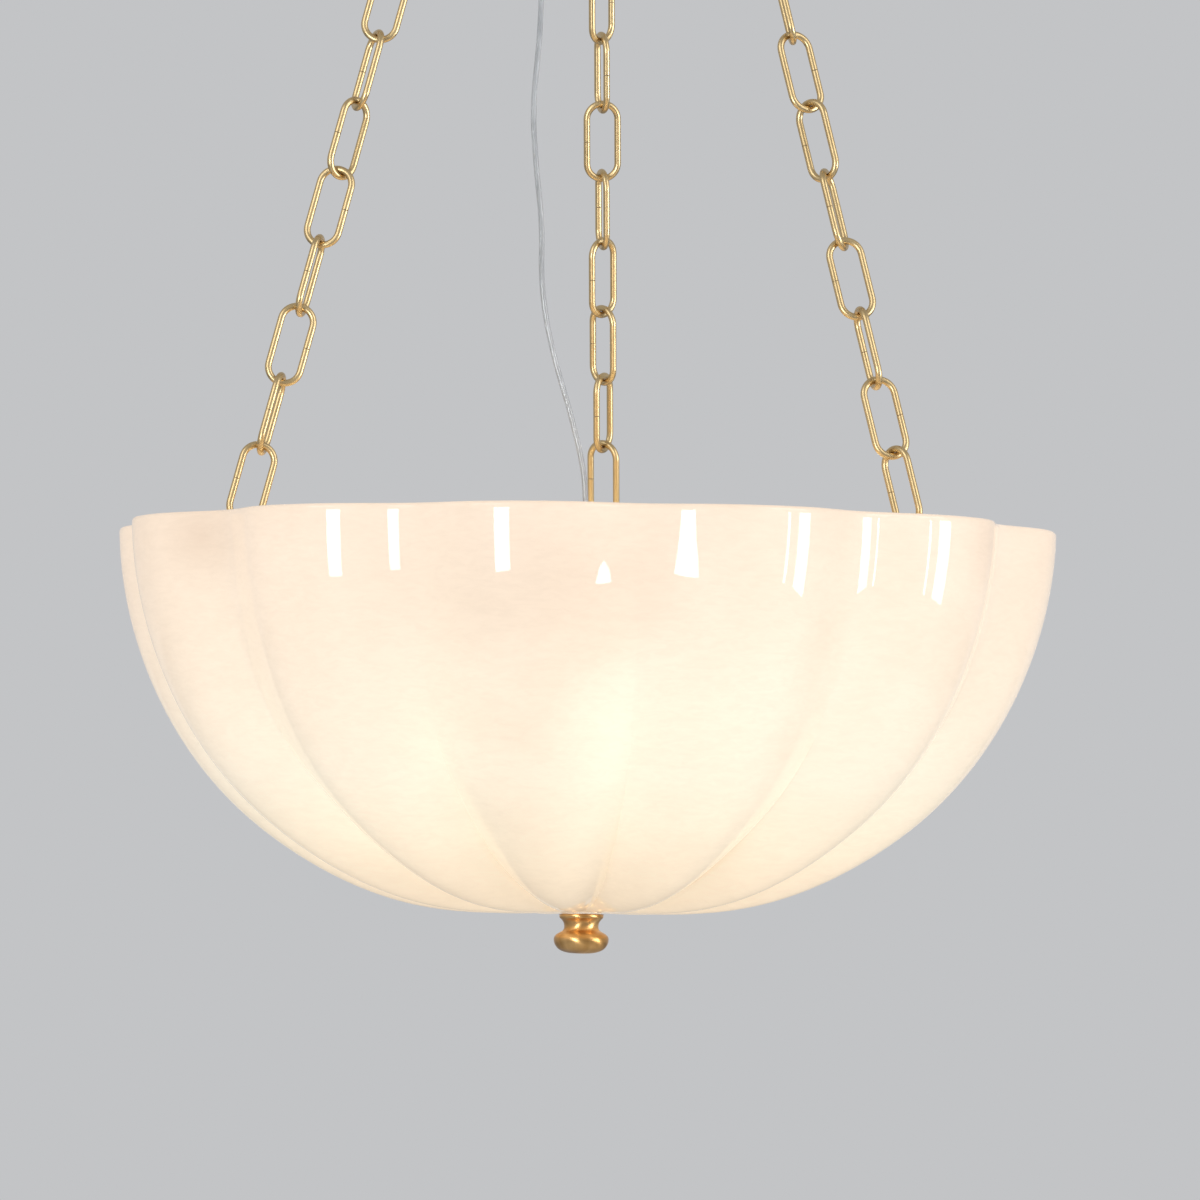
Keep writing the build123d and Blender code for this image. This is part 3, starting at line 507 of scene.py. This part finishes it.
def tube(name, points, radius, material, sides=16, offset=0.0, twist=0.0, start=0.0):
    """Round tube along points, its line offset sideways and twisted by so many turns a metre."""
    side = Vector((0, 1, 0))
    rings, lengths = [], []
    travelled = 0.0
    for index, point in enumerate(points):
        before, after = points[max(index - 1, 0)], points[min(index + 1, len(points) - 1)]
        forward = (after - before).normalized()
        side = (side - forward * side.dot(forward)).normalized()
        across = forward.cross(side)
        if index:
            travelled += (point - points[index - 1]).length
        turn = 2 * pi * twist * travelled + start
        middle = point + offset * (cos(turn) * side + sin(turn) * across)
        ring = []
        for step in range(sides):
            round_turn = 2 * pi * step / sides
            ring.append(middle + radius * (cos(round_turn) * side + sin(round_turn) * across))
        rings.append(ring)
        lengths.append(travelled)
    vertices, faces = ring_grid(rings, closed=False)
    cap_ends(faces, vertices, sides)
    piece = finish_mesh(name, vertices, faces, material, 60.0)
    layer = piece.data.uv_layers.new(name="along")
    for loop in piece.data.loops:
        ring, step = divmod(loop.vertex_index, sides)
        layer.data[loop.index].uv = (lengths[ring] * 100.0, step / sides)
    return piece


def densify(points, step):
    """The same line with points no further apart than a step."""
    dense = [points[0]]
    for start, end in zip(points, points[1:]):
        parts = max(1, int((end - start).length / step + 0.5))
        dense += [start.lerp(end, part / parts) for part in range(1, parts + 1)]
    return dense


def make_cable():
    points = spline_points("cable_line", CABLE_ROUTE)
    sheath_material, strand_material = cable_sheath(), conductor()
    sheath = tube("cable_sheath", points, CABLE_RADIUS, sheath_material)
    fine = densify(points, CORE_STEP)
    cores = []
    for number in (0, 1):
        lay = (CORE_OFFSET, CORE_TURNS_PER_METRE, pi * number)
        cores.append(tube(f"cable_core_{number}", fine, CORE_RADIUS, strand_material, 8, *lay))
    for piece in (sheath, *cores):
        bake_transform(piece)
    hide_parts("lamp_cable")


# Finial

FINIAL_SIDES = 96


def finial_profile():
    """Outline of the CAD knob with soft edges, as (radius, height) in millimetres under its top."""
    corners = (
        (0.0, 0.0), (11.2, 0.0), (11.6, -0.4), (11.65, -1.5), (11.2, -2.3), (10.2, -3.3),
        (9.4, -4.7), (9.1, -6.4), (9.35, -8.0), (10.2, -9.0), (11.8, -9.9), (13.3, -10.9),
        (14.3, -12.2), (14.55, -13.8), (14.2, -15.5), (13.4, -17.0), (12.2, -18.4),
        (10.6, -19.4), (8.4, -20.2), (6.0, -20.65), (3.0, -20.85), (0.0, -20.9),
    )
    return [(radius / 1000, level / 1000) for radius, level in corners]


def smooth_outline(corners, parts=6):
    """Catmull-Rom points through the corners."""
    line = [Vector(corner) for corner in corners]
    line = [line[0], *line, line[-1]]
    points = []
    for index in range(1, len(line) - 2):
        a, b, c, d = line[index - 1:index + 3]
        for part in range(parts):
            t = part / parts
            square, cube = 2 * a - 5 * b + 4 * c - d, 3 * b - a - 3 * c + d
            points.append(0.5 * (2 * b + (c - a) * t + square * t**2 + cube * t**3))
    points.append(line[-1])
    return [(point.x, point.y) for point in points]


def finial_material():
    """Warm brass, turned and then brushed on a slant, so that its lights draw out into strokes."""
    tree = Tree("finial_brass")
    strokes = tree.noise(tree.place((1, 1, 0.3), (0.0, 0.9, 0.5)), 90.0, 3.0, 0.5, 0.6)
    fine = tree.noise(tree.place((1, 1, 9)), 500.0, 3.0)
    share = tree.span(strokes, 0.35, 0.68, 0.0, 1.0)
    tone = tree.mix(share, (0.54, 0.29, 0.095), (0.80, 0.49, 0.20))
    tree.set(
        Base_Color=tone,
        Metallic=1.0,
        Roughness=tree.span(fine, 0.3, 0.7, 0.30, 0.38),
        Normal=tree.bump(fine, 0.15, 0.00001),
        Anisotropic=0.75,
        Anisotropic_Rotation=0.33,
        Tangent=tree.add("Tangent", direction_type="RADIAL", axis="Z").outputs[0],
    )
    return tree.material


# Dressing of the CAD nodes


def dress(names, material):
    for name in names:
        node = nodes[name]
        node.data.materials.clear()
        node.data.materials.append(material)


def dress_cad_nodes():
    lamps = range(1, LAMP_COUNT + 1)
    dress(
        ("chain_left", "chain_right", "chain_back", "chain_connectors", "crown_eyes",
         "hanging_ring"),
        brass(
            "chain_brass", (0.59, 0.440, 0.228), (0.46, 0.320, 0.145), 0.34,
            grain_scale=240.0, depth=0.000004,
        ),
    )
    dress(
        ("canopy", "collar_ring", "canopy_loop", "crown_loop", "crown_plate", "crown_nut"),
        brass("canopy_brass", (0.88, 0.61, 0.27), (0.70, 0.45, 0.17), 0.30, (1, 1, 12), 260.0),
    )
    dress(
        ("support_arm_left", "support_arm_right", "support_arm_back", "frame_hub", "hub_cover",
         "lamp_arms", "bowl_rod", "nipple"),
        brass("frame_brass", (0.84, 0.58, 0.26), (0.64, 0.41, 0.16), 0.32),
    )
    dress(
        ("ceiling_bracket", "bracket_nut", "earth_screw", "hub_screws", "rod_nut", "seat_nut",
         "seat_washer"),
        steel(),
    )
    dress(
        ("lamp_holders", *(f"bulb_base_{number}" for number in lamps)),
        moulded("white_ceramic", (0.86, 0.85, 0.81), (0.80, 0.78, 0.73), 0.22, clear=0.4),
    )
    dress(
        ("terminal_block", "hub_connector", "gland_nut"),
        moulded("white_plastic", (0.84, 0.84, 0.82), (0.78, 0.78, 0.75), 0.42),
    )
    dress(
        ("canopy_gland", "hub_gland", "cable_tail"),
        moulded("clear_plastic", (0.78, 0.77, 0.74), (0.70, 0.69, 0.65), 0.18, clear=0.5),
    )
    dress(
        ("arm_buffers", "upper_gasket", "lower_gasket"),
        moulded("silicone", (0.83, 0.81, 0.76), (0.76, 0.74, 0.68), 0.50),
    )
    dress([f"bulb_{number}" for number in lamps], bulb_glass())


dress_cad_nodes()

bowl = make_bowl()
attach(bowl, "bowl_body")
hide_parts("bowl")

finial_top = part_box("finial")[1].z
finial_outline = smooth_outline(finial_profile())
finial = lathe("finial_knob", finial_outline, finial_material(), FINIAL_SIDES, finial_top)
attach(finial, "finial_body")
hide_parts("finial")

make_cable()


# Stage: pale floor, soft light, and the photograph's camera

BACKDROP = (0.545, 0.552, 0.565)
FLOOR_Z = -3.0
FLOOR_REACH = 9.0
WINDOW_DISTANCE = 3.6
WINDOW_HEIGHT = 1.5
WINDOW_Z = -1.12
WINDOW_COLOUR = (0.92, 0.96, 1.0)
FRAME_PIXELS = 1200.0
FOCAL_PIXELS = 7826.0
SENSOR_WIDTH = 36.0
CAMERA_DISTANCE = 4.15
CAMERA_BELOW_RIM = 0.2465
CAMERA_TURN = 0.0513
CAMERA_PITCH = 0.05045
CAMERA_YAW = -0.00195
CAMERA_ROLL = 0.0105


def make_floor():
    """Pale painted floor, seen from above only."""
    tree = Tree("floor_paint")
    grain = tree.noise(tree.place(), 60.0, 3.0)
    tree.set(
        Base_Color=tree.mix(grain, (0.60, 0.605, 0.615), (0.56, 0.565, 0.575)),
        Roughness=0.7,
        Alpha=tree.math("SUBTRACT", 1.0, tree.add("NewGeometry").outputs["Backfacing"]),
    )
    signs = ((-1, -1), (1, -1), (1, 1), (-1, 1))
    corners = [(x * FLOOR_REACH, y * FLOOR_REACH, FLOOR_Z) for x, y in signs]
    floor = finish_mesh("floor", corners, [(0, 1, 2, 3)], tree.material)


def make_world():
    """Soft light all round, and the plain backdrop for what the camera, metal and glass see."""
    world = bpy.data.worlds.new("studio")
    bpy.context.scene.world = world
    world.use_nodes = True
    tree = world.node_tree
    tree.nodes.clear()
    path = tree.nodes.new("ShaderNodeLightPath")
    seen = tree.nodes.new("ShaderNodeMath")
    seen.operation = "MAXIMUM"
    tree.links.new(path.outputs["Is Camera Ray"], seen.inputs[0])
    glass = tree.nodes.new("ShaderNodeMath")
    glass.operation = "MAXIMUM"
    tree.links.new(path.outputs["Is Transmission Ray"], glass.inputs[0])
    tree.links.new(path.outputs["Is Glossy Ray"], glass.inputs[1])
    tree.links.new(glass.outputs[0], seen.inputs[1])
    ambient = tree.nodes.new("ShaderNodeBackground")
    ambient.inputs["Color"].default_value = (0.80, 0.84, 0.90, 1.0)
    ambient.inputs["Strength"].default_value = 0.45
    shown = tree.nodes.new("ShaderNodeBackground")
    shown.inputs["Color"].default_value = (*BACKDROP, 1.0)
    mix = tree.nodes.new("ShaderNodeMixShader")
    tree.links.new(seen.outputs[0], mix.inputs[0])
    tree.links.new(ambient.outputs[0], mix.inputs[1])
    tree.links.new(shown.outputs[0], mix.inputs[2])
    output = tree.nodes.new("ShaderNodeOutputWorld")
    tree.links.new(mix.outputs[0], output.inputs[0])


def area_light(name, place, aim, size, power, colour=(1.0, 1.0, 1.0), glossy=True):
    data = bpy.data.lights.new(name, "AREA")
    data.shape = "RECTANGLE"
    data.size, data.size_y = size
    data.energy = power
    data.color = colour
    lamp = bpy.data.objects.new(name, data)
    lamp.location = place
    lamp.rotation_euler = (Vector(aim) - Vector(place)).to_track_quat("-Z", "Y").to_euler()
    lamp.visible_camera = False
    lamp.visible_glossy = glossy
    bpy.context.scene.collection.objects.link(lamp)


def window(name, azimuth, width, power):
    """Tall panel at an angle to the right of the camera's line, mirrored in the bowl's lobes."""
    turn = radians(azimuth) + CAMERA_TURN
    place = (WINDOW_DISTANCE * sin(turn), -WINDOW_DISTANCE * cos(turn), WINDOW_Z)
    size = (width, WINDOW_HEIGHT)
    area_light(name, place, (0, 0, WINDOW_Z), size, power, WINDOW_COLOUR)


def make_camera():
    """The photograph's view, from a little below the rim, through a long lens."""
    data = bpy.data.cameras.new("photo_camera")
    data.sensor_width = SENSOR_WIDTH
    data.lens = FOCAL_PIXELS / FRAME_PIXELS * SENSOR_WIDTH
    data.clip_end = 60.0
    camera = bpy.data.objects.new("photo_camera", data)
    spin = Matrix.Rotation(CAMERA_TURN + CAMERA_YAW, 4, "Z")
    spin = spin @ Matrix.Rotation(pi / 2 + CAMERA_PITCH, 4, "X")
    spin = spin @ Matrix.Rotation(CAMERA_ROLL, 4, "Z")
    across = CAMERA_DISTANCE * sin(CAMERA_TURN)
    place = Vector((across, -CAMERA_DISTANCE * cos(CAMERA_TURN), RIM_Z - CAMERA_BELOW_RIM))
    camera.matrix_world = Matrix.Translation(place) @ spin
    bpy.context.scene.collection.objects.link(camera)
    bpy.context.scene.camera = camera


make_floor()
make_world()
area_light("key", (-2.2, -2.6, 1.2), (0, 0, -0.8), (2.2, 2.0), 36.0)
area_light("fill", (2.8, -1.4, 0.8), (0, 0, -0.7), (1.8, 1.6), 26.0)
area_light("back", (0.6, 2.8, 0.8), (0, 0, -0.6), (2.4, 1.6), 35.0, glossy=False)
window("window_left", -26.0, 0.80, 60.0)
window("window_right", 71.0, 1.00, 64.0)
window("window_slit", 53.0, 0.14, 10.0)
make_camera()

bpy.context.scene.view_settings.view_transform = "Standard"
